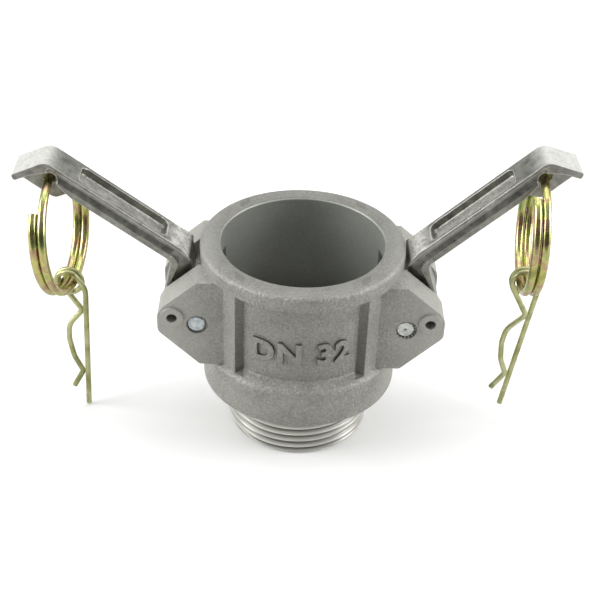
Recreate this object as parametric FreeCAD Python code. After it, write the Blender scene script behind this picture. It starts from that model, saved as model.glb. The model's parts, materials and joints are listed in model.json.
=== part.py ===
import FreeCAD, Part
import math
import os

from FreeCAD import Vector as V

# Camlock coupling, type B: a female socket with two cam arms on a male thread.
# Frame: Z is the coupling's axis with the socket mouth up, the origin is the
# centre of the thread's end face, X runs across the two arms, Y along their pins.

# ---------------------------------------------------------------- dimensions (mm)
HEIGHT = 62.0            # end face of the thread to the socket mouth
BORE_R = 23.1            # socket bore for a 1 1/4 inch adapter
MOUTH_CHAMFER = 0.5
SEAT_Z = 20.3            # floor of the gasket groove
GROOVE_TOP_Z = 26.9
GROOVE_R = 24.7
FLOW_R = 16.0            # waterway through the thread

THREAD_R = 20.95         # G 1 1/4, 11 threads per inch
THREAD_PITCH = 2.309
THREAD_DEPTH = 1.479
THREAD_END_CHAMFER = 1.3
RELIEF_WIDTH = 2.2       # run-out groove under the flange

FLANGE_R = 28.4
FLANGE_BOTTOM_Z = 17.3
SHOULDER_Z = 30.0        # top of the flange, at the foot of the walls
FLANGE_EDGE = 2.0        # rounding of its upper edge
SHOULDER_SLOPE = 24.0    # fall of the shelf outwards from a panel's foot, degrees

WAIST_R = 27.15          # cast wall between the panels
PANEL_R = 24.9           # recessed front and back panels
PANEL_HALF = 15.7        # half width of a panel at its inner corner
PANEL_LIP = 18.25        # half width of a panel at its outer edge
PANEL_TOP_Z = 54.6
PANEL_FOOT_COVE = 0.9    # concave blend from a panel down to the shoulder

RIM_R = 28.9
RIM_BOTTOM_Z = 57.4
RIM_COVE = 1.7           # concave blend from the rim down to the wall
RIM_ROUND = 1.5

EAR_Y = 16.5             # outer faces of the ears
SLOT_Y = 7.0             # half width of the slot that an arm swings in
PIN_X = 29.1
PIN_Z = 43.7
PIN_R = 2.6
PIN_HOLE_R = 2.62
PIN_END_GAP = 0.25       # pin end below the ear's face
PIN_SINK_R = 2.95        # punched recess round the pin's end, a little off centre
PIN_SINK = 0.9
PIN_SINK_OFF = (0.25, -0.12)
WINDOW_BOTTOM_Z = 33.0
WINDOW_TOP_Z = 55.0
LOCK_X = 35.8            # hole in the ears for the safety clip
LOCK_Z = 45.9
LOCK_R = 1.45
LOCK_BOSS_R = 3.3
LOCK_BOSS = 0.5

# arm: u runs out along the handle from the pin, v is square to it
ARM_Y = 5.2              # half width of the handle
HUB_Y = 6.75             # half width of the cam hub
ARM_PIN_R = 2.68
CAM_R = 7.3
CAM_OFFSET = 3.0         # cam centre from the pin
CAM_AZIMUTH = -16.5      # direction of that offset from the handle, degrees
HANDLE_TOP = 11.3
HANDLE_BOTTOM = 6.1
HANDLE_END = 57.6
TAB_TIP = (62.9, 2.3)
TAB_T = 1.9
WEB_Y = 1.8              # half thickness of the web under the finger tab
RING_HOLE = (54.0, 6.9)
RING_HOLE_R = 2.3
POCKET_FROM = 19.3       # long pocket in the handle's top
POCKET_TO = 47.5
POCKET_Y = 4.0
POCKET_DEPTH = 2.2
GROOVE_Y = 4.5           # half width at the bottom of the side grooves
GROOVE_TOP = 10.3        # the groove runs under the top flange and fades out below
GROOVE_FADE = 7.6
ARM_ANGLE = {"left": 36.5, "right": 43.0}    # handle above the horizontal at rest

RING_R = 17.4            # centre line of the ring's wire
RING_WIRE_R = 1.2
RING_PITCH = 2.46
RING_SAG = 0.75          # wire centre below the hole's centre where it hangs
RING_ENDS = {"left": (46.0, 650.0), "right": (32.0, 640.0)}
RING_LEAN = {"left": 3.0, "right": 0.0}
RING_TWIST = {"left": -7.0, "right": -1.9}

CLIP_WIRE_R = 0.8
CLIP_COIL_R = 3.6
CLIP_PITCH = 1.72
CLIP_LEG = 45.0
CLIP_SWING = {"left": 6.5, "right": 8.0}


# ---------------------------------------------------------------- small helpers
def cylinder(radius, z0, z1):
    return Part.makeCylinder(radius, z1 - z0, V(0, 0, z0))


def y_cylinder(radius, x, z, y0, y1):
    return Part.makeCylinder(radius, y1 - y0, V(x, y0, z), V(0, 1, 0))


def box(x0, x1, y0, y1, z0, z1):
    return Part.makeBox(x1 - x0, y1 - y0, z1 - z0, V(x0, y0, z0))


def revolve(profile):
    """Turn a closed list of (radius, z) points about the Z axis."""
    face = Part.Face(Part.makePolygon([V(r, 0, z) for r, z in profile + profile[:1]]))
    return face.revolve(V(0, 0, 0), V(0, 0, 1), 360)


def xy_prism(points, z0, z1):
    face = Part.Face(Part.makePolygon([V(x, y, z0) for x, y in points + points[:1]]))
    return face.extrude(V(0, 0, z1 - z0))


def mirrored(shape, plane_normal):
    return shape.mirror(V(0, 0, 0), plane_normal)


def arc_points(cx, cz, radius, start, end, count):
    """Points along an arc, angles in degrees."""
    angles = [math.radians(start + (end - start) * i / count) for i in range(count + 1)]
    return [(cx + radius * math.cos(a), cz + radius * math.sin(a)) for a in angles]


def rounded(points, radii):
    """Outline wire in the XZ plane with each corner rounded by its own radius."""
    count = len(points)
    edges = []
    starts = []
    ends = []
    for i in range(count):
        here = V(points[i][0], 0, points[i][1])
        before = V(points[i - 1][0], 0, points[i - 1][1])
        after = V(points[(i + 1) % count][0], 0, points[(i + 1) % count][1])
        to_before = (before - here).normalize()
        to_after = (after - here).normalize()
        if radii[i] <= 0:
            starts.append(here)
            ends.append(here)
            continue
        half = to_before.getAngle(to_after) / 2
        reach = radii[i] / math.tan(half)
        a = here + to_before * reach
        b = here + to_after * reach
        bisector = (to_before + to_after).normalize()
        centre = here + bisector * (radii[i] / math.sin(half))
        middle = centre - bisector * radii[i]
        starts.append(a)
        ends.append(b)
        edges.append((i, Part.Arc(a, middle, b).toShape()))
    arcs = dict(edges)
    outline = []
    for i in range(count):
        if i in arcs:
            outline.append(arcs[i])
        following = (i + 1) % count
        if (ends[i] - starts[following]).Length > 1e-6:
            outline.append(Part.LineSegment(ends[i], starts[following]).toShape())
    return Part.Wire(Part.__sortEdges__(outline))


def rounded_prism(points, radii, y0, y1):
    wire = rounded(points, radii)
    wire.translate(V(0, y0, 0))
    return Part.Face(wire).extrude(V(0, y1 - y0, 0))


def fillet_where(shape, radius, wanted):
    """Round every edge for which wanted(edge) is true."""
    edges = [e for e in shape.Edges if wanted(e)]
    return shape.makeFillet(radius, edges) if edges else shape


# ---------------------------------------------------------------- coupler body
def ear_outline():
    """Kite-shaped ear of the right side, with the corner radii of the casting."""
    points = [
        (20.0, SHOULDER_Z),
        (28.4, SHOULDER_Z),
        (39.9, 41.2),
        (39.9, 46.6),
        (38.3, 49.3),
        (28.9, RIM_BOTTOM_Z),
        (20.0, RIM_BOTTOM_Z),
    ]
    return points, [0, 1.5, 2.5, 2.5, 1.2, 0, 0]


def ears():
    points, radii = ear_outline()
    block = rounded_prism(points, radii, -EAR_Y, EAR_Y)
    for side in (-1, 1):
        face = side * EAR_Y
        y0, y1 = sorted((face - side * 0.5, face + side * LOCK_BOSS))
        block = block.fuse(y_cylinder(LOCK_BOSS_R, LOCK_X, LOCK_Z, y0, y1))
    block = block.removeSplitter()
    return block.fuse(mirrored(block, V(1, 0, 0)))


def shoulder_edge():
    """Rounded upper edge of the flange, up to where it meets the sloping shelf."""
    return arc_points(
        FLANGE_R - FLANGE_EDGE, SHOULDER_Z - FLANGE_EDGE, FLANGE_EDGE, 0, 90 - SHOULDER_SLOPE, 6
    )


def shell():
    """Outside of the casting, turned about the axis."""
    cove_top = RIM_BOTTOM_Z
    outer = [(0, FLANGE_BOTTOM_Z), (FLANGE_R - 0.5, FLANGE_BOTTOM_Z)]
    outer += [(FLANGE_R, FLANGE_BOTTOM_Z + 0.5)]
    outer += shoulder_edge()
    outer += [(WAIST_R, SHOULDER_Z + 0.2)]
    outer += arc_points(WAIST_R + RIM_COVE, cove_top - RIM_COVE, RIM_COVE, 180, 90, 6)
    outer += [(RIM_R, cove_top + 0.05)]
    outer += arc_points(RIM_R - RIM_ROUND, HEIGHT - RIM_ROUND, RIM_ROUND, 0, 90, 5)
    outer += [(0, HEIGHT)]
    return revolve(outer)


def panel_cut():
    """Space outside the recessed front panel, between its two oblique edges."""
    lip_y = math.sqrt(WAIST_R ** 2 - PANEL_LIP ** 2)
    corner_y = math.sqrt(PANEL_R ** 2 - PANEL_HALF ** 2)
    points = [
        (-PANEL_HALF + 0.05, -10.0),
        (-PANEL_HALF, -corner_y),
        (-PANEL_LIP, -lip_y),
        (-PANEL_LIP - 1.5, -40.0),
        (PANEL_LIP + 1.5, -40.0),
        (PANEL_LIP, -lip_y),
        (PANEL_HALF, -corner_y),
        (PANEL_HALF - 0.05, -10.0),
    ]
    prism = xy_prism(points, SHOULDER_Z - 1.0, RIM_BOTTOM_Z)
    cove = 2.7
    foot = PANEL_FOOT_COVE
    shelf_r, shelf_z = shoulder_edge()[-1]
    slope = math.radians(SHOULDER_SLOPE)
    foot_r = PANEL_R + foot * (1 - math.sin(slope))
    foot_z = shelf_z + (shelf_r - foot_r) * math.tan(slope) + foot * math.cos(slope)
    inside = [(0, SHOULDER_Z - 2.0), (45, SHOULDER_Z - 2.0), (45, shelf_z), (shelf_r, shelf_z)]
    inside += arc_points(PANEL_R + foot, foot_z, foot, 270 - SHOULDER_SLOPE, 180, 5)
    inside += arc_points(PANEL_R + cove, PANEL_TOP_Z, cove, 180, 90, 7)
    inside += [(40, PANEL_TOP_Z + cove), (40, RIM_BOTTOM_Z + 1), (0, RIM_BOTTOM_Z + 1)]
    return prism.cut(revolve(inside))


def bores():
    """Socket, gasket groove and waterway."""
    return revolve([
        (0, -1),
        (FLOW_R, -1),
        (FLOW_R, SEAT_Z),
        (GROOVE_R, SEAT_Z),
        (GROOVE_R, GROOVE_TOP_Z),
        (BORE_R, GROOVE_TOP_Z),
        (BORE_R, HEIGHT - MOUTH_CHAMFER),
        (BORE_R + MOUTH_CHAMFER + 0.5, HEIGHT + 0.5),
        (0, HEIGHT + 0.5),
    ])


def thread_groove():
    """Helical V groove that leaves the male thread standing."""
    relief_z = FLANGE_BOTTOM_Z - RELIEF_WIDTH
    turns = math.ceil((relief_z + 2.4 * THREAD_PITCH) / THREAD_PITCH)
    root_r = THREAD_R - THREAD_DEPTH
    start_z = FLANGE_BOTTOM_Z - 0.45 * RELIEF_WIDTH - turns * THREAD_PITCH
    helix = Part.makeHelix(THREAD_PITCH, turns * THREAD_PITCH, root_r)
    helix.translate(V(0, 0, start_z))
    out = 0.3
    half = (THREAD_PITCH / 2 - 0.14) * (THREAD_DEPTH + out) / THREAD_DEPTH
    corners = [
        V(root_r, 0, start_z - 0.16),
        V(root_r + THREAD_DEPTH + out, 0, start_z - half),
        V(root_r + THREAD_DEPTH + out, 0, start_z + half),
        V(root_r, 0, start_z + 0.16),
    ]
    section = Part.makePolygon(corners + corners[:1])
    return Part.Wire(helix.Edges).makePipeShell([section], True, True)


def threaded_spigot():
    """Male thread with a chamfered start, and a run-out groove under the flange."""
    relief_z = FLANGE_BOTTOM_Z - RELIEF_WIDTH
    root_r = THREAD_R - THREAD_DEPTH - 0.1
    top = FLANGE_BOTTOM_Z + 0.5
    outline = revolve([
        (0, 0),
        (THREAD_R - THREAD_END_CHAMFER, 0),
        (THREAD_R, THREAD_END_CHAMFER),
        (THREAD_R, relief_z - 0.6),
        (root_r, relief_z + 0.6),
        (root_r, top),
        (0, top),
    ])
    return cylinder(THREAD_R, 0, top).cut(thread_groove()).common(outline)


def coupler_body():
    body = shell()
    front = panel_cut()
    body = body.cut(front)
    body = body.cut(mirrored(front, V(0, 1, 0)))
    body = body.fuse(ears()).removeSplitter()
    body = body.fuse(threaded_spigot())
    body = body.cut(bores())
    for side in (-1, 1):
        x0, x1 = sorted((side * 20.0, side * 45.0))
        body = body.cut(box(x0, x1, -SLOT_Y, SLOT_Y, WINDOW_BOTTOM_Z, WINDOW_TOP_Z))
        x0, x1 = sorted((side * (WAIST_R + 0.15), side * 45.0))
        body = body.cut(box(x0, x1, -SLOT_Y, SLOT_Y, SHOULDER_Z - 0.02, RIM_BOTTOM_Z))
        body = body.cut(y_cylinder(PIN_HOLE_R, side * PIN_X, PIN_Z, -20, 20))
        body = body.cut(y_cylinder(LOCK_R, side * LOCK_X, LOCK_Z, -20, 20))
        for y0, y1 in ((-20, -EAR_Y + PIN_SINK), (EAR_Y - PIN_SINK, 20)):
            x, z = side * PIN_X + PIN_SINK_OFF[0], PIN_Z + PIN_SINK_OFF[1]
            body = body.cut(y_cylinder(PIN_SINK_R, x, z, y0, y1))
    return body


# ---------------------------------------------------------------- gasket
def gasket():
    """Square-section sealing ring with a small lip chamfer, seated in its groove."""
    inner, outer = 17.4, GROOVE_R - 0.15
    z0, z1 = SEAT_Z + 0.02, SEAT_Z + 6.4
    return revolve([
        (inner, z0 + 0.8),
        (inner + 0.8, z0),
        (outer, z0),
        (outer, z1),
        (inner + 0.8, z1),
        (inner, z1 - 0.8),
    ])


# ---------------------------------------------------------------- cam arm
def in_arm(x, z, angle):
    """A point given from the pin at the right arm's open stop, in arm axes u, v."""
    a = math.radians(angle)
    return (x * math.cos(a) + z * math.sin(a), -x * math.sin(a) + z * math.cos(a))


def arm_outline():
    stop = ARM_ANGLE["right"]
    a = math.radians(CAM_AZIMUTH)
    cam = (CAM_OFFSET * math.cos(a), CAM_OFFSET * math.sin(a))
    points = [
        in_arm(0.35, 0.0, stop),
        in_arm(0.35, 15.2, stop),
        (14.2, HANDLE_TOP),
        (HANDLE_END, HANDLE_TOP),
        (TAB_TIP[0], TAB_TIP[1]),
        (TAB_TIP[0] - 1.63, TAB_TIP[1] - 0.98),
        (59.0, HANDLE_BOTTOM - 1.0),
        (56.2, HANDLE_BOTTOM + 2.0),
        (46.5, HANDLE_BOTTOM),
        (14.0, HANDLE_BOTTOM),
        (10.1, -2.0),
        (cam[0], cam[1]),
    ]
    radii = [0, 2.5, 1.6, 3.6, 0.7, 0.7, 0, 0.8, 0, 2.2, 0, 0]
    return points, radii, cam


def web_outline():
    """Web that stiffens the finger tab and carries the ring."""
    points = [
        (61.4, 1.7),
        (49.4, 1.5),
        (46.4, HANDLE_BOTTOM + 0.3),
        (46.4, HANDLE_BOTTOM + 3.0),
        (57.4, HANDLE_BOTTOM + 4.2),
        (59.2, HANDLE_BOTTOM + 1.5),
    ]
    return points, [0, 2.4, 0, 0, 0, 0]


def arm_shape():
    points, radii, cam = arm_outline()
    arm = rounded_prism(points, radii, -HUB_Y, HUB_Y)
    arm = arm.fuse(y_cylinder(CAM_R, cam[0], cam[1], -HUB_Y, HUB_Y))
    arm = arm.common(xy_prism([
        (-12, -HUB_Y), (8.5, -HUB_Y), (14.5, -ARM_Y), (70, -ARM_Y),
        (70, ARM_Y), (14.5, ARM_Y), (8.5, HUB_Y), (-12, HUB_Y),
    ], -20, 30))
    groove = side_groove()
    arm = arm.cut(groove).cut(mirrored(groove, V(0, 1, 0)))
    arm = arm.cut(pocket())
    points, radii = web_outline()
    arm = arm.fuse(rounded_prism(points, radii, -WEB_Y, WEB_Y))
    arm = arm.cut(y_cylinder(ARM_PIN_R, 0, 0, -10, 10))
    arm = arm.cut(y_cylinder(RING_HOLE_R, RING_HOLE[0], RING_HOLE[1], -10, 10))
    return arm.removeSplitter()


def side_groove():
    """Groove in one side, tapering along the handle and turning down the neck to the hub."""
    wedge = [
        V(15.0, GROOVE_Y, GROOVE_TOP),
        V(15.0, GROOVE_Y, GROOVE_TOP - 0.9),
        V(15.0, ARM_Y + 0.01, GROOVE_FADE),
        V(15.0, ARM_Y + 3, GROOVE_FADE),
        V(15.0, ARM_Y + 3, GROOVE_TOP),
    ]
    along = Part.Face(Part.makePolygon(wedge + wedge[:1])).extrude(V(41.0, 0, 0))
    neck = [
        (15.01, GROOVE_TOP),
        (10.0, GROOVE_TOP),
        (4.0, 4.6),
        (7.0, 0.6),
        (10.2, 0.4),
        (12.0, 7.4),
        (15.01, GROOVE_FADE),
    ]
    down = rounded_prism(neck, [0, 0.8, 0.6, 0.6, 0.6, 1.6, 0], GROOVE_Y, HUB_Y + 1)
    return along.fuse(down)


def pocket():
    """Long round-cornered pocket in the handle's top face."""
    tool = box(POCKET_FROM, POCKET_TO, -POCKET_Y, POCKET_Y, HANDLE_TOP - POCKET_DEPTH, HANDLE_TOP + 2)
    tool = fillet_where(tool, 2.0, lambda e: abs(e.tangentAt(e.FirstParameter).z) > 0.9)
    floor = HANDLE_TOP - POCKET_DEPTH
    return fillet_where(tool, 0.9, lambda e: abs(e.BoundBox.ZMax - floor) < 1e-4)


def placed_on_right(shape, angle):
    shape.rotate(V(0, 0, 0), V(0, 1, 0), -angle)
    shape.translate(V(PIN_X, 0, PIN_Z))
    return shape


def cam_arm(side):
    arm = placed_on_right(arm_shape(), ARM_ANGLE[side])
    return mirrored(arm, V(1, 0, 0)) if side == "left" else arm


# ---------------------------------------------------------------- pivot pin
def pivot_pin(side):
    half = EAR_Y - PIN_END_GAP
    pin = Part.makeCylinder(PIN_R, 2 * half, V(0, -half, 0), V(0, 1, 0))
    pin = pin.makeChamfer(0.35, [e for e in pin.Edges if e.Closed and e.Length > 12])
    pin.translate(V(PIN_X if side == "right" else -PIN_X, 0, PIN_Z))
    return pin


# ---------------------------------------------------------------- pull ring
def ring_hang_point(side):
    """Centre of the ring's wire where it hangs in the arm."""
    a = math.radians(ARM_ANGLE[side])
    u, v = RING_HOLE
    x = PIN_X + u * math.cos(a) - v * math.sin(a)
    z = PIN_Z + u * math.sin(a) + v * math.cos(a) - RING_SAG
    return V(x if side == "right" else -x, 0, z)


def hang(shape, side):
    """Turn a shape built hanging straight down from the origin to its rest pose."""
    shape.rotate(V(0, 0, 0), V(0, 0, 1), RING_TWIST[side])
    shape.rotate(V(0, 0, 0), V(0, 1, 0), -RING_LEAN[side])
    shape.translate(ring_hang_point(side))
    return shape


def pull_ring(side):
    """Split ring: about one and two thirds turns of wire, side by side."""
    start, end = RING_ENDS[side]
    count = int(round((end - start) / 24.0))
    step = (end - start) / count
    reach = RING_R / math.cos(math.radians(step / 2))
    points = []
    for i in range(-1, count + 1):
        angle = start + step * (i + 0.5)
        inside = min(max(angle, start), end)
        radius = reach if inside == angle else RING_R
        a = math.radians(inside)
        points.append(V(
            RING_PITCH * (inside - 360.0) / 360.0,
            -radius * math.sin(a),
            radius * math.cos(a) - RING_R,
        ))
    ring = bent_wire(points, [RING_R] * len(points), RING_WIRE_R)
    return hang(ring, side)


# ---------------------------------------------------------------- safety clip
def clip_points():
    """Centre line of the hairpin clip and its bend radii: straight leg, coil, waved leg."""
    r = CLIP_COIL_R
    step = 30.0
    start, end = 50.0, 577.0
    count = int(round((end - start) / step))
    bend = (5.0 - r * math.cos(math.radians(start))) / (1 - math.cos(math.radians(start)))
    corner_z = r * math.sin(math.radians(start)) - bend * math.tan(math.radians(start / 2))
    drop = CLIP_PITCH * (end - start) / 360.0
    points = [V(5.0, 0.15, -CLIP_LEG), V(5.0, -drop / 2, corner_z)]
    reach = r / math.cos(math.radians((end - start) / count / 2))
    for i in range(count):
        angle = start + (end - start) * (i + 0.5) / count
        y = -drop / 2 + drop * (i + 0.5) / count
        a = math.radians(angle)
        points.append(V(reach * math.cos(a), y, reach * math.sin(a)))
    points += [
        V(3.3, drop / 2, -10.6),
        V(-0.9, drop / 2 - 0.1, -16.6),
        V(-0.8, drop / 2 - 0.3, -22.0),
        V(0.6, drop / 2 - 0.5, -28.0),
        V(3.35, 0.55, -33.0),
        V(0.6, 0.5, -39.2),
    ]
    coil_bends = [50.0] * (count + 2)
    return points, coil_bends + [1.6, 7.0, 9.0, 9.0, 1.2, 0]


def bent_wire(points, bends, wire_r):
    """Round wire along straight runs joined by tangent arcs."""
    edges = []
    last = points[0]
    for i in range(1, len(points) - 1):
        to_before = (points[i - 1] - points[i])
        to_after = (points[i + 1] - points[i])
        shorter = min(to_before.Length, to_after.Length)
        to_before.normalize()
        to_after.normalize()
        half = to_before.getAngle(to_after) / 2
        reach = min(bends[i] / math.tan(half), 0.47 * shorter)
        radius = reach * math.tan(half)
        a = points[i] + to_before * reach
        b = points[i] + to_after * reach
        bisector = (to_before + to_after).normalize()
        middle = points[i] + bisector * (radius / math.sin(half) - radius)
        if (a - last).Length > 1e-5:
            edges.append(Part.LineSegment(last, a).toShape())
        edges.append(Part.Arc(a, middle, b).toShape())
        last = b
    edges.append(Part.LineSegment(last, points[-1]).toShape())
    along = (points[1] - points[0]).normalize()
    section = Part.Face(Part.Wire(Part.makeCircle(wire_r, points[0], along)))
    return Part.Wire(edges).makePipe(section)


def safety_clip(side):
    points, bends = clip_points()
    clip = bent_wire(points, bends, CLIP_WIRE_R)
    if side == "right":
        clip = mirrored(clip, V(0, 1, 0))
    clip.rotate(V(0, 0, 0), V(0, 1, 0), CLIP_SWING[side])
    clip.translate(V(0, 0, -2 * RING_R))
    return hang(clip, side)


# ---------------------------------------------------------------- write the pieces
def main():
    os.makedirs("parts", exist_ok=True)
    pieces = {"coupler_body": coupler_body(), "gasket": gasket()}
    for side in ("left", "right"):
        pieces["cam_arm_" + side] = cam_arm(side)
        pieces["pivot_pin_" + side] = pivot_pin(side)
        pieces["pull_ring_" + side] = pull_ring(side)
        pieces["safety_clip_" + side] = safety_clip(side)
    for name, shape in pieces.items():
        b = shape.BoundBox
        solids = len(shape.Solids)
        print(name, shape.ShapeType, "solids", solids, "valid", shape.isValid(),
              "volume %.1f" % shape.Volume,
              "box %.1f %.1f %.1f to %.1f %.1f %.1f"
              % (b.XMin, b.YMin, b.ZMin, b.XMax, b.YMax, b.ZMax))
        shape.exportStep("parts/" + name + ".step")


main()
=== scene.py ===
import json
import math

import bmesh
import bpy
from mathutils import Matrix, Vector


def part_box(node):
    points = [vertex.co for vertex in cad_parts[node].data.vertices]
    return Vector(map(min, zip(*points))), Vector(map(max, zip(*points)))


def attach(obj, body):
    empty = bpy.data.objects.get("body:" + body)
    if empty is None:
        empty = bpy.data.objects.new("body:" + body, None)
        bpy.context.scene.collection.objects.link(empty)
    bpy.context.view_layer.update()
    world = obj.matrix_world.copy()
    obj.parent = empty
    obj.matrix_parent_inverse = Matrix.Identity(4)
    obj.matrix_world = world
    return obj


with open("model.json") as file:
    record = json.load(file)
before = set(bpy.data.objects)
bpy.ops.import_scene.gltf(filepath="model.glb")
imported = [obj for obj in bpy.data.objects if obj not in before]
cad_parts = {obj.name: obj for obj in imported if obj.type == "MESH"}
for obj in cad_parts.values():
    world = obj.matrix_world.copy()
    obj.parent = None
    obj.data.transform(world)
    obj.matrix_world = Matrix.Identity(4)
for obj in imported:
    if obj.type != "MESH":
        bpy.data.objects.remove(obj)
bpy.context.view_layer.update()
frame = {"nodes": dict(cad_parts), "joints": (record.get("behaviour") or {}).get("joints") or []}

MM = 0.001
BOUNCE = "#c6c6c4"       # what the floor gives back to the metal above it
SIDES = ("left", "right")

# sizes of the casting that the finishes and the added details follow, in metres
MOUTH_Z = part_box("coupler_body")[1].z
FLANGE_UNDERSIDE_Z = 17.3 * MM
BORE_R = 23.1 * MM
PANEL_R = 24.9 * MM
PANEL_HALF = 15.7 * MM       # half width of a panel's floor
PANEL_LIP = 18.25 * MM       # half width over its oblique sides
WALL_R = 27.15 * MM
THREAD_ROOT_R = 19.5 * MM
THREAD_CREST_R = 20.95 * MM
PIN_R = 2.6 * MM
EAR_FACE_Y = 16.5 * MM
POCKET_HALF = 4.0 * MM

ALONG_X = (1.0, 0.0, 0.0)
ALONG_Y = (0.0, 1.0, 0.0)
ROUND_Y = (1.0, 0.0, 1.0)
ROUND_Z = (1.0, 1.0, 0.0)
CENTRE = (0.0, 0.0, 0.0)
CENTRE_MARK = {"left": 0.0, "right": 1.0}    # only one pin shows its centre
PIN_TONES = {
    "left": [(0.35, "#a8afb2"), (0.65, "#d2d9dc")],
    "right": [(0.35, "#afb2ae"), (0.65, "#dadcd8")],
}

JOINT_AT = {j["name"]: Vector(j["pos_m"]) for j in frame["joints"]}


# ------------------------------------------------------------------ node helpers
def linear(hex_colour):
    """An sRGB hex colour as the linear RGBA that shaders use."""
    channels = [int(hex_colour[i:i + 2], 16) / 255 for i in (1, 3, 5)]
    straight = [c / 12.92 if c <= 0.04045 else ((c + 0.055) / 1.055) ** 2.4 for c in channels]
    return (*straight, 1.0)


def add(tree, kind, inputs=None, **settings):
    """Add a node with its settings; each input is a value, or a socket to link."""
    node = tree.nodes.new(kind)
    for name, value in settings.items():
        setattr(node, name, value)
    for name, value in (inputs or {}).items():
        if isinstance(value, bpy.types.NodeSocket):
            tree.links.new(value, node.inputs[name])
        else:
            node.inputs[name].default_value = value
    return node


def ramp(tree, factor, stops):
    """A colour ramp from (position, hex colour) stops."""
    node = add(tree, "ShaderNodeValToRGB", {"Fac": factor})
    elements = node.color_ramp.elements
    while len(elements) < len(stops):
        elements.new(0.5)
    for element, (position, colour) in zip(elements, stops):
        element.position = position
        element.color = linear(colour)
    return node.outputs["Color"]


def per_metre(size_mm):
    """Pattern scale whose features are about size_mm across."""
    return 1 / (size_mm * MM)


def new_finish(name):
    """A new material, with its node tree, its shader and the place on the piece."""
    material = bpy.data.materials.new(name)
    material.use_nodes = True
    tree = material.node_tree
    shader = tree.nodes["Principled BSDF"]
    place = add(tree, "ShaderNodeTexCoord").outputs["Object"]
    return material, tree, shader, place


def noise(tree, place, size_mm, detail=3.0, roughness=0.55):
    """Mottle whose patches are about size_mm across."""
    scale = per_metre(size_mm)
    inputs = {"Vector": place, "Scale": scale, "Detail": detail, "Roughness": roughness}
    return add(tree, "ShaderNodeTexNoise", inputs).outputs["Fac"]


def remap(tree, value, low, high, to_low=0.0, to_high=1.0):
    inputs = {"Value": value, "From Min": low, "From Max": high, "To Min": to_low, "To Max": to_high}
    return add(tree, "ShaderNodeMapRange", inputs).outputs["Result"]


def maths(tree, operation, a, b=0.0):
    return add(tree, "ShaderNodeMath", {0: a, 1: b}, operation=operation).outputs[0]


def mix_colour(tree, factor, a, b):
    return add(tree, "ShaderNodeMix", {"Factor": factor, 6: a, 7: b}, data_type="RGBA").outputs[2]


def mix_number(tree, factor, a, b):
    return add(tree, "ShaderNodeMix", {"Factor": factor, 2: a, 3: b}).outputs[0]


def mix_direction(tree, factor, a, b):
    return add(tree, "ShaderNodeMix", {"Factor": factor, 4: a, 5: b}, data_type="VECTOR").outputs[1]


def distance_from(tree, place, centre, axes):
    """Distance from a centre, measured only along the axes given as ones."""
    flat = vectors(tree, "MULTIPLY", vectors(tree, "SUBTRACT", place, centre), axes)
    return vectors(tree, "LENGTH", flat, CENTRE, "Value")


def true_normal(tree):
    return add(tree, "ShaderNodeNewGeometry").outputs["Normal"]


def rounded_edges(tree, radius_mm):
    """Surface normal with the sharp edges worn to a small radius."""
    return add(tree, "ShaderNodeBevel", {"Radius": radius_mm * MM}, samples=6).outputs["Normal"]


def vectors(tree, operation, a, b, output="Vector"):
    return add(tree, "ShaderNodeVectorMath", {0: a, 1: b}, operation=operation).outputs[output]


def blend_of(tree, a, share, b):
    """Weighted sum of two patterns, share being the part that a has."""
    return maths(tree, "ADD", maths(tree, "MULTIPLY", a, share), maths(tree, "MULTIPLY", b, 1 - share))


def bump(tree, height, depth_mm, normal):
    inputs = {"Height": height, "Distance": depth_mm * MM, "Strength": 1.0, "Normal": normal}
    return add(tree, "ShaderNodeBump", inputs).outputs["Normal"]


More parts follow.
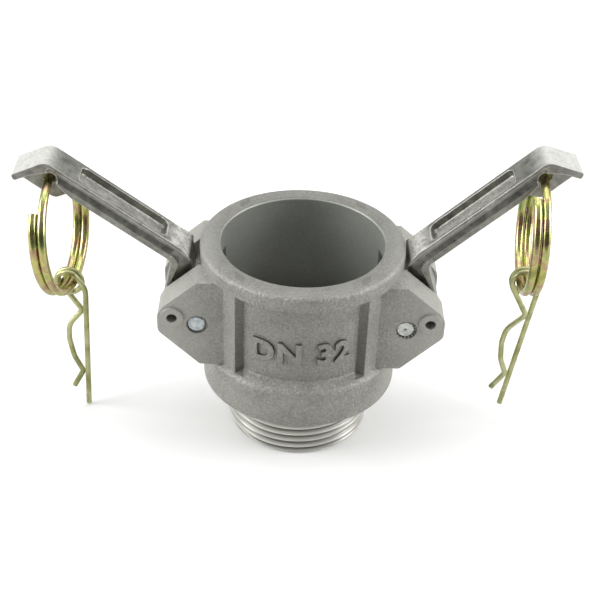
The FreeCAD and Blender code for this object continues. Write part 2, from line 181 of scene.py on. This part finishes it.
# ------------------------------------------------------------------ finishes
def cast_skin(tree, place, height, radius, grain, fleck, blotch):
    """Colour of the blasted skin: sugary flecks with a painted glint that is stronger on what faces up, a
    duller faced mouth, painted shade in the panels that is darker on their slanted sides and towards the
    bottom, and the body lighter towards its left and right sides, over the ears."""
    own_normal = tree.nodes["Texture Coordinate"].outputs["Normal"]
    upward = add(tree, "ShaderNodeSeparateXYZ", {"Vector": own_normal}).outputs["Z"]
    aside = distance_from(tree, place, CENTRE, ALONG_X)
    faced = remap(tree, height, MOUTH_Z - 0.5 * MM, MOUTH_Z - 0.05 * MM)
    tone = blend_of(tree, grain, 0.75, blotch)
    colour = ramp(tree, tone, [(0.36, "#8b8a84"), (0.5, "#a09f99"), (0.64, "#b4b3ac")])

    # painted glint: the grain's flecks lightened, more on faces turned up and less on the mouth's top face
    painted_glint_on_flecks = remap(tree, fleck, 0.58, 0.7, 0.0, 0.5)
    painted_glint_on_flecks = maths(tree, "MULTIPLY", painted_glint_on_flecks, remap(tree, upward, 0.15, 0.7, 0.45, 1.0))
    painted_glint_on_flecks = maths(tree, "MULTIPLY", painted_glint_on_flecks, remap(tree, faced, 0.0, 1.0, 1.0, 0.35))
    colour = mix_colour(tree, painted_glint_on_flecks, colour, linear("#dad9d2"))
    colour = mix_colour(tree, maths(tree, "MULTIPLY", faced, 0.35), colour, linear("#777671"))

    outside = maths(tree, "GREATER_THAN", radius, BORE_R)
    # painted shade: the recessed panel floors a little darker
    panel_painted_shade = maths(tree, "MULTIPLY", remap(tree, radius, PANEL_R + 1.3 * MM, PANEL_R + 0.5 * MM), outside)
    colour = mix_colour(tree, maths(tree, "MULTIPLY", panel_painted_shade, 0.09), colour, linear("#5e5d59"))

    # painted shade on the panels' slanted sides, darker towards the bottom
    oblique = remap(tree, aside, PANEL_HALF - 0.2 * MM, PANEL_HALF + 0.25 * MM)
    for edge in (
        remap(tree, aside, PANEL_LIP + 0.25 * MM, PANEL_LIP - 0.25 * MM),
        maths(tree, "LESS_THAN", radius, WALL_R - 0.05 * MM),
        maths(tree, "GREATER_THAN", radius, PANEL_R - 0.1 * MM),
        remap(tree, height, 56.0 * MM, 38.0 * MM, 0.3, 0.6),
    ):
        oblique = maths(tree, "MULTIPLY", oblique, edge)
    colour = mix_colour(tree, oblique, colour, linear("#55544f"))
    # the body lighter towards its left and right sides, over the ears
    ear = remap(tree, aside, 22.0 * MM, 36.0 * MM, 0.0, 0.6)
    return mix_colour(tree, ear, colour, linear("#cfcec7"))


def letter_wall_painted_shade(tree, place):
    """Mask for painted shade: one on the walls of the raised letters, nought on their faces."""
    own_normal = tree.nodes["Texture Coordinate"].outputs["Normal"]
    outward = vectors(tree, "NORMALIZE", vectors(tree, "MULTIPLY", place, ROUND_Z), CENTRE)
    face_on = vectors(tree, "DOT_PRODUCT", own_normal, outward, "Value")
    return remap(tree, face_on, 0.85, 0.4)


def shot_blasted_aluminium(name, letters=False):
    """Sand-cast aluminium, shot blasted: dull mid grey with a sugary grain and faint
    blotches. The thread and the bore are machined, so smoother, with fine turning marks,
    and the thread has a painted highlight on its crests and painted shade in its roots.
    The walls of the raised letters get painted shade, which reads as a dark outline."""
    material, tree, shader, place = new_finish(name)
    height = add(tree, "ShaderNodeSeparateXYZ", {"Vector": place}).outputs["Z"]
    radius = distance_from(tree, place, CENTRE, ROUND_Z)
    thread = maths(tree, "LESS_THAN", height, FLANGE_UNDERSIDE_Z + 0.05 * MM)
    bore = maths(tree, "LESS_THAN", radius, BORE_R + 0.3 * MM)
    machined = maths(tree, "MAXIMUM", thread, bore)

    grain = noise(tree, place, 0.65, 4.0, 0.62)
    blotch = noise(tree, place, 7.0)
    fleck = noise(tree, place, 0.8, 2.0)
    cast = cast_skin(tree, place, height, radius, grain, fleck, blotch)
    if letters:
        # painted shade on the walls of the raised letters, a dark outline
        cast = mix_colour(tree, letter_wall_painted_shade(tree, place), cast, linear("#5f5e5a"))
    # painted highlight on the thread's crests and painted shade in its roots
    crest_painted_light = remap(tree, radius, THREAD_ROOT_R + 0.3 * MM, THREAD_CREST_R - 0.1 * MM)
    turned = mix_colour(tree, crest_painted_light, linear("#8f8e87"), linear("#f1f0ea"))
    turned = mix_colour(tree, remap(tree, blotch, 0.35, 0.65, 0.0, 0.25), turned, linear("#a9a8a1"))
    bored = ramp(tree, blend_of(tree, grain, 0.75, blotch), [(0.35, "#a2a49e"), (0.65, "#b2b4ae")])
    smooth = mix_colour(tree, thread, bored, turned)
    shader.inputs["Metallic"].default_value = 0.55
    tree.links.new(mix_colour(tree, machined, cast, smooth), shader.inputs["Base Color"])

    matte = remap(tree, grain, 0.3, 0.7, 0.48, 0.66)
    glossy = mix_number(tree, thread, 0.48, 0.26)
    tree.links.new(mix_number(tree, machined, matte, glossy), shader.inputs["Roughness"])

    # turning marks 0.35 mm apart, blasting grain about two thirds of a millimetre across
    turns = maths(tree, "SINE", maths(tree, "MULTIPLY", height, 2 * math.pi * per_metre(0.35)))
    sugar = maths(tree, "ADD", grain, maths(tree, "MULTIPLY", fleck, 0.8))
    relief = mix_number(tree, machined, sugar, maths(tree, "MULTIPLY", turns, 0.05))
    base = mix_direction(tree, machined, rounded_edges(tree, 0.5), true_normal(tree))
    tree.links.new(bump(tree, relief, 0.26, base), shader.inputs["Normal"])
    return material


def as_cast_parts(tree, place, side):
    """Where an arm's upper faces were left as cast: all of them, the pad and tab, the tab; the first is kept
    to faces turned up, which paints light on their tops.
    """
    pivot = JOINT_AT["arm_%s_swing" % side]
    reach = distance_from(tree, place, (pivot.x, 0.0, pivot.z), ROUND_Y)
    across = distance_from(tree, place, CENTRE, ALONG_Y)
    own_normal = tree.nodes["Texture Coordinate"].outputs["Normal"]
    # the pale as-cast skin shows only on faces turned up, which paints light on their tops
    upward = remap(tree, add(tree, "ShaderNodeSeparateXYZ", {"Vector": own_normal}).outputs["Z"], 0.5, 0.65)
    wobble = maths(tree, "MULTIPLY", noise(tree, place, 2.0), 2.5 * MM)
    pad = remap(tree, maths(tree, "ADD", reach, wobble), 23.4 * MM, 21.4 * MM)
    tab = remap(tree, reach, 54.0 * MM, 59.0 * MM)
    floor = remap(tree, across, POCKET_HALF - 0.1 * MM, POCKET_HALF - 0.7 * MM)
    floor = maths(tree, "MULTIPLY", floor, maths(tree, "LESS_THAN", reach, 48.9 * MM))
    floor = maths(tree, "MULTIPLY", floor, maths(tree, "GREATER_THAN", reach, 22.0 * MM))
    sandy = maths(tree, "MAXIMUM", pad, tab)
    return maths(tree, "MULTIPLY", upward, maths(tree, "MAXIMUM", sandy, floor)), sandy, tab


def ground_cast_steel(side):
    """Investment-cast steel: the handle ground to a satin grey with a painted highlight along its
    edges; the pad by the hub, the pocket's floor and the finger tab left pale and sandy, shown only on faces
    turned up, which paints light on their tops, and the tab lightened further as a painted highlight."""
    material, tree, shader, place = new_finish("ground_cast_steel_" + side)
    as_cast_and_painted_top_light, sandy, tab = as_cast_parts(tree, place, side)
    skin = noise(tree, place, 0.7)
    cloud = noise(tree, place, 9.0, 2.0)
    smear = noise(tree, place, 2.4, 4.0, 0.65)
    greys = [(0.34, "#6b6b65"), (0.5, "#8f8e87"), (0.66, "#adaca4")]
    ground = ramp(tree, blend_of(tree, smear, 0.6, cloud), greys)
    sands = [(0.38, "#a3a29b"), (0.48, "#c9c8c1"), (0.6, "#dfded8")]
    pale = ramp(tree, blend_of(tree, skin, 0.5, smear), sands)
    pocket_floor = mix_colour(tree, 0.5, pale, ground)
    # painted highlight: the tab's pale skin pushed almost to white
    tab_painted_highlight = mix_colour(tree, 0.55, pale, linear("#f2f1ed"))
    pale = mix_colour(tree, maths(tree, "GREATER_THAN", sandy, 0.02), pocket_floor, pale)
    pale = mix_colour(tree, tab, pale, tab_painted_highlight)
    # pale as-cast skin on faces turned up: a real finish, and painted light on the tops
    colour = mix_colour(tree, as_cast_and_painted_top_light, ground, pale)
    edge = rounded_edges(tree, 0.45)
    # painted highlight along the rounded edges, where the bevelled normal parts from the true one
    edge_painted_highlight = vectors(tree, "DOT_PRODUCT", edge, true_normal(tree), "Value")
    colour = mix_colour(tree, remap(tree, edge_painted_highlight, 0.995, 0.93, 0.0, 0.8), colour, linear("#ecebe4"))
    tree.links.new(colour, shader.inputs["Base Color"])
    shader.inputs["Metallic"].default_value = 0.9
    polish = remap(tree, smear, 0.3, 0.7, 0.27, 0.42)
    tree.links.new(mix_number(tree, as_cast_and_painted_top_light, polish, 0.6), shader.inputs["Roughness"])
    relief = maths(tree, "ADD", maths(tree, "MULTIPLY", skin, maths(tree, "ADD", as_cast_and_painted_top_light, 0.35)), cloud)
    tree.links.new(bump(tree, relief, 0.14, edge), shader.inputs["Normal"])
    return material


def zinc_plated_pin(side):
    """Bright zinc on a turned steel pin: cool, almost white, with fine rings on its ends
    and the small dark centre that the lathe leaves."""
    material, tree, shader, place = new_finish("zinc_plated_turned_steel_" + side)
    axis = JOINT_AT["arm_%s_swing" % side]
    radius = distance_from(tree, place, (axis.x, 0.0, axis.z), ROUND_Y)
    rings = maths(tree, "SINE", maths(tree, "MULTIPLY", radius, 2 * math.pi * per_metre(0.4)))
    mottle = noise(tree, place, 1.2, 3.0)
    colour = ramp(tree, mottle, PIN_TONES[side])
    centre = remap(tree, radius, 0.45 * MM, 0.25 * MM)
    colour = mix_colour(tree, maths(tree, "MULTIPLY", centre, CENTRE_MARK[side]), colour, linear("#5f6365"))
    tree.links.new(colour, shader.inputs["Base Color"])
    shader.inputs["Metallic"].default_value = 1.0
    tree.links.new(remap(tree, mottle, 0.3, 0.7, 0.22, 0.38), shader.inputs["Roughness"])
    height = maths(tree, "ADD", maths(tree, "MULTIPLY", rings, 0.15), mottle)
    tree.links.new(bump(tree, height, 0.05, rounded_edges(tree, 0.2)), shader.inputs["Normal"])
    return material


def passivated_zinc_wire(name, stops, rough_low, rough_high):
    """Spring wire, zinc plated and yellow passivated: the thin film gives soft bands of
    straw, rose and green over a bright metal, with faint drawing marks."""
    material, tree, shader, place = new_finish(name)
    film = noise(tree, place, 7.0, 2.0, 0.5)
    patch = noise(tree, place, 2.2, 3.0)
    tree.links.new(ramp(tree, blend_of(tree, film, 0.85, patch), stops), shader.inputs["Base Color"])
    shader.inputs["Metallic"].default_value = 1.0
    tree.links.new(remap(tree, patch, 0.3, 0.7, rough_low, rough_high), shader.inputs["Roughness"])
    scratch = noise(tree, place, 0.35, 2.0)
    tree.links.new(bump(tree, scratch, 0.007, true_normal(tree)), shader.inputs["Normal"])
    return material


def moulded_nitrile():
    """Moulded nitrile rubber: matte black with a faint bloom."""
    material, tree, shader, place = new_finish("moulded_nitrile_rubber")
    bloom = noise(tree, place, 3.0, 3.0)
    tree.links.new(ramp(tree, bloom, [(0.35, "#1b1b1b"), (0.7, "#2c2c2b")]), shader.inputs["Base Color"])
    shader.inputs["Metallic"].default_value = 0.0
    tree.links.new(remap(tree, bloom, 0.3, 0.7, 0.55, 0.75), shader.inputs["Roughness"])
    skin = noise(tree, place, 0.3, 2.0)
    tree.links.new(bump(tree, skin, 0.02, rounded_edges(tree, 0.3)), shader.inputs["Normal"])
    return material


def finish_node(name, material):
    node = frame["nodes"][name]
    node.data.materials.clear()
    node.data.materials.append(material)
    return node


# ------------------------------------------------------------------ raised size mark
def size_mark(material):
    """The nominal size cast proud on the front panel, wrapped round its curve."""
    letter_height = 7.2 * MM
    middle_z = 40.6 * MM
    proud = 0.7 * MM
    sunk = 0.3 * MM
    curve = bpy.data.curves.new("size_mark", "FONT")
    curve.body = "DN 32"
    curve.align_x = "CENTER"
    curve.align_y = "CENTER"
    curve.size = 1.0
    curve.space_character = 1.12
    curve.offset = 0.025
    curve.extrude = 0.045
    curve.bevel_depth = 0.015
    curve.bevel_resolution = 1
    curve.resolution_u = 8
    text = bpy.data.objects.new("size_mark_text", curve)
    bpy.context.scene.collection.objects.link(text)
    bpy.context.view_layer.update()
    mesh = bpy.data.meshes.new_from_object(text.evaluated_get(bpy.context.evaluated_depsgraph_get()))
    bpy.data.objects.remove(text)
    shape = bmesh.new()
    shape.from_mesh(mesh)
    bmesh.ops.remove_doubles(shape, verts=shape.verts, dist=1e-4)
    long_edges = [e for e in shape.edges if e.calc_length() > 0.12]
    bmesh.ops.subdivide_edges(shape, edges=long_edges, cuts=3)
    low = min(v.co.y for v in shape.verts)
    high = max(v.co.y for v in shape.verts)
    depth = max(v.co.z for v in shape.verts)
    scale = letter_height / (high - low)
    for vert in shape.verts:
        angle = vert.co.x * scale / PANEL_R
        z = middle_z + (vert.co.y - (high + low) / 2) * scale
        radius = PANEL_R - sunk + (vert.co.z + depth) / (2 * depth) * (proud + sunk)
        vert.co = Vector((radius * math.sin(angle), -radius * math.cos(angle), z))
    bmesh.ops.recalc_face_normals(shape, faces=shape.faces)
    shape.to_mesh(mesh)
    shape.free()
    mesh.name = "size_mark"
    mark = bpy.data.objects.new("size_mark", mesh)
    bpy.context.scene.collection.objects.link(mark)
    mark.data.materials.clear()
    mark.data.materials.append(material)
    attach(mark, "coupler")
    return mark


# ------------------------------------------------------------------ staked pin end
def stake_ring_tree():
    """Ring of small burrs, as a toothed punch leaves them round a pin's end."""
    tree = bpy.data.node_groups.new("stake_ring", "GeometryNodeTree")
    sockets = [
        ("Teeth", "NodeSocketInt"), ("Ring Radius", "NodeSocketFloat"), ("Tooth Foot", "NodeSocketFloat"),
        ("Tooth Tip", "NodeSocketFloat"), ("Tooth Height", "NodeSocketFloat"),
        ("Tilt", "NodeSocketVector"), ("Centre", "NodeSocketVector"), ("Material", "NodeSocketMaterial"),
    ]
    for name, kind in sockets:
        tree.interface.new_socket(name, in_out="INPUT", socket_type=kind)
    tree.interface.new_socket("Geometry", in_out="OUTPUT", socket_type="NodeSocketGeometry")
    given = add(tree, "NodeGroupInput").outputs
    circle = add(tree, "GeometryNodeMeshCircle", {"Vertices": given["Teeth"], "Radius": given["Ring Radius"]})
    tooth = add(tree, "GeometryNodeMeshCone", {
        "Vertices": 4, "Radius Bottom": given["Tooth Foot"], "Radius Top": given["Tooth Tip"],
        "Depth": given["Tooth Height"],
    })
    place = add(tree, "GeometryNodeInputPosition").outputs[0]
    turn = add(tree, "FunctionNodeAlignRotationToVector", {"Vector": place}, axis="X")
    ring = add(tree, "GeometryNodeInstanceOnPoints", {
        "Points": circle.outputs[0], "Instance": tooth.outputs["Mesh"], "Rotation": turn.outputs[0],
    })
    placed = add(tree, "GeometryNodeTransform", {
        "Geometry": ring.outputs[0], "Rotation": given["Tilt"], "Translation": given["Centre"],
    })
    whole = add(tree, "GeometryNodeRealizeInstances", {"Geometry": placed.outputs[0]})
    dressed = add(tree, "GeometryNodeSetMaterial", {
        "Geometry": whole.outputs[0], "Material": given["Material"],
    })
    add(tree, "NodeGroupOutput", {"Geometry": dressed.outputs[0]})
    return tree


def stake_ring(side, face, material):
    """Burrs pressed from the ear over one end of a pin; face is -1 at the front, 1 at the back."""
    tree = stake_ring_tree()
    axis = JOINT_AT["arm_%s_swing" % side]
    holder = bpy.data.objects.new("stake_holder", bpy.data.meshes.new("stake_holder"))
    bpy.context.scene.collection.objects.link(holder)
    modifier = holder.modifiers.new("stakes", "NODES")
    modifier.node_group = tree
    tooth_height = 0.5 * MM
    values = {
        "Teeth": 16,
        "Ring Radius": PIN_R + 0.2 * MM,
        "Tooth Foot": 0.42 * MM,
        "Tooth Tip": 0.27 * MM,
        "Tooth Height": tooth_height,
        "Tilt": (-face * math.pi / 2, 0.0, 0.0),
        "Centre": (axis.x, face * (EAR_FACE_Y - tooth_height - 0.02 * MM), axis.z),
        "Material": material,
    }
    for socket in tree.interface.items_tree:
        if socket.in_out == "INPUT":
            modifier[socket.identifier] = values[socket.name]
    bpy.context.view_layer.update()
    mesh = bpy.data.meshes.new_from_object(holder.evaluated_get(bpy.context.evaluated_depsgraph_get()))
    bpy.data.objects.remove(holder)
    piece = bpy.data.objects.new("stake_ring_" + side, mesh)
    bpy.context.scene.collection.objects.link(piece)
    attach(piece, "coupler")
    return piece


# ------------------------------------------------------------------ stage, lights, camera
def pale_floor():
    mesh = bpy.data.meshes.new("floor")
    half = 3.0
    corners = [(-half, -half, 0), (half, -half, 0), (half, half, 0), (-half, half, 0)]
    mesh.from_pydata(corners, [], [(0, 1, 2, 3)])
    floor = bpy.data.objects.new("floor", mesh)
    bpy.context.scene.collection.objects.link(floor)
    material, tree, shader, place = new_finish("pale_paper")
    shader.inputs["Roughness"].default_value = 0.9
    shader.inputs["Specular IOR Level"].default_value = 0.1
    shader.inputs["Emission Color"].default_value = (1.0, 1.0, 1.0, 1.0)
    paper = ramp(tree, noise(tree, place, 60.0, 2.0), [(0.3, "#f4f4f3"), (0.7, "#f8f8f7")])
    ray = add(tree, "ShaderNodeLightPath").outputs["Is Camera Ray"]
    tree.links.new(mix_colour(tree, ray, linear(BOUNCE), paper), shader.inputs["Base Color"])
    # the sweep stays evenly white where the lamps no longer reach it
    far = remap(tree, distance_from(tree, place, CENTRE, ROUND_Z), 0.25, 0.8, 0.12, 1.1)
    tree.links.new(mix_number(tree, ray, 0.12, far), shader.inputs["Emission Strength"])
    floor.data.materials.append(material)
    return floor


def softbox(name, place, aim, width, height, power):
    light = bpy.data.lights.new(name, "AREA")
    light.shape = "RECTANGLE"
    light.size = width
    light.size_y = height
    light.energy = power
    lamp = bpy.data.objects.new(name, light)
    bpy.context.scene.collection.objects.link(lamp)
    lamp.location = place
    lamp.rotation_euler = (Vector(aim) - Vector(place)).to_track_quat("-Z", "Y").to_euler()
    return lamp


def studio():
    """White room: bright overhead, dimmer round the sides, and pale where the camera looks."""
    world = bpy.data.worlds.new("studio")
    bpy.context.scene.world = world
    world.use_nodes = True
    tree = world.node_tree
    tree.nodes.clear()
    direction = add(tree, "ShaderNodeTexCoord").outputs["Generated"]
    axes = add(tree, "ShaderNodeSeparateXYZ", {"Vector": direction}).outputs
    height = remap(tree, axes["Z"], -1.0, 1.0)
    behind = ramp(tree, height, [(0.45, "#d8d9da"), (0.66, "#d8d9da"), (0.8, "#a9aaab"), (1.0, "#bcbdbe")])
    in_front = ramp(tree, height, [(0.45, "#4a4a4b"), (0.68, "#4a4b4c"), (0.88, "#9a9b9c"), (1.0, "#c4c5c6")])
    room = mix_colour(tree, remap(tree, axes["Y"], -0.55, 0.35), in_front, behind)
    lit = add(tree, "ShaderNodeBackground", {"Color": room, "Strength": 1.15})
    seen = add(tree, "ShaderNodeBackground", {"Color": linear("#ffffff"), "Strength": 1.0})
    ray = add(tree, "ShaderNodeLightPath").outputs["Is Camera Ray"]
    both = add(tree, "ShaderNodeMixShader", {0: ray, 1: lit.outputs[0], 2: seen.outputs[0]})
    add(tree, "ShaderNodeOutputWorld", {"Surface": both.outputs[0]})
    middle = (0, 0, 45 * MM)
    softbox("overhead", (0.0, 0.22, 0.85), middle, 1.1, 0.7, 3.7)
    softbox("left_fill", (-0.80, -0.12, 0.38), middle, 0.5, 0.6, 6.0)
    softbox("right_fill", (0.80, -0.12, 0.38), middle, 0.5, 0.6, 5.4)


def camera():
    """Long lens, a little above the socket's mouth, turned slightly on its own axis."""
    azimuth, elevation, roll = (math.radians(a) for a in (-1.176, 36.612, 2.219))
    distance = 0.35007
    target = Vector((0, 0, 30 * MM))
    back = Vector((
        math.sin(azimuth) * math.cos(elevation),
        -math.cos(azimuth) * math.cos(elevation),
        math.sin(elevation),
    ))
    right = Vector((0, 0, 1)).cross(back).normalized()
    up = back.cross(right)
    turned_right = right * math.cos(roll) + up * math.sin(roll)
    turned_up = up * math.cos(roll) - right * math.sin(roll)
    data = bpy.data.cameras.new("camera")
    data.sensor_width = 36.0
    data.lens = 70.98
    data.shift_x = 0.0006
    data.shift_y = 0.0524
    data.clip_start = 0.01
    data.clip_end = 20.0
    cam = bpy.data.objects.new("camera", data)
    bpy.context.scene.collection.objects.link(cam)
    cam.matrix_world = Matrix((
        (turned_right.x, turned_up.x, back.x, 0),
        (turned_right.y, turned_up.y, back.y, 0),
        (turned_right.z, turned_up.z, back.z, 0),
        (0, 0, 0, 1),
    ))
    cam.location = target + back * distance
    bpy.context.scene.camera = cam


# ------------------------------------------------------------------ the coupling
def main():
    aluminium = shot_blasted_aluminium("shot_blasted_cast_aluminium")
    ring_wire = passivated_zinc_wire(
        "yellow_passivated_zinc_wire",
        [(0.34, "#9c9a5c"), (0.44, "#c9c67e"), (0.5, "#bf9f86"), (0.56, "#cfcc82"), (0.68, "#9fae78")],
        0.17, 0.28,
    )
    clip_wire = passivated_zinc_wire(
        "olive_passivated_zinc_wire",
        [(0.36, "#98986a"), (0.48, "#babb86"), (0.6, "#cfcea2"), (0.68, "#a6a974")],
        0.26, 0.4,
    )
    finish_node("coupler_body", aluminium)
    finish_node("gasket", moulded_nitrile())
    for side in SIDES:
        finish_node("cam_arm_" + side, ground_cast_steel(side))
        finish_node("pivot_pin_" + side, zinc_plated_pin(side))
        finish_node("pull_ring_" + side, ring_wire)
        finish_node("safety_clip_" + side, clip_wire)
    size_mark(shot_blasted_aluminium("cast_letters_aluminium", letters=True))
    stake_ring("right", -1, aluminium)
    stake_ring("left", 1, aluminium)
    pale_floor()
    studio()
    camera()
    bpy.context.scene.view_settings.view_transform = "Standard"


main()
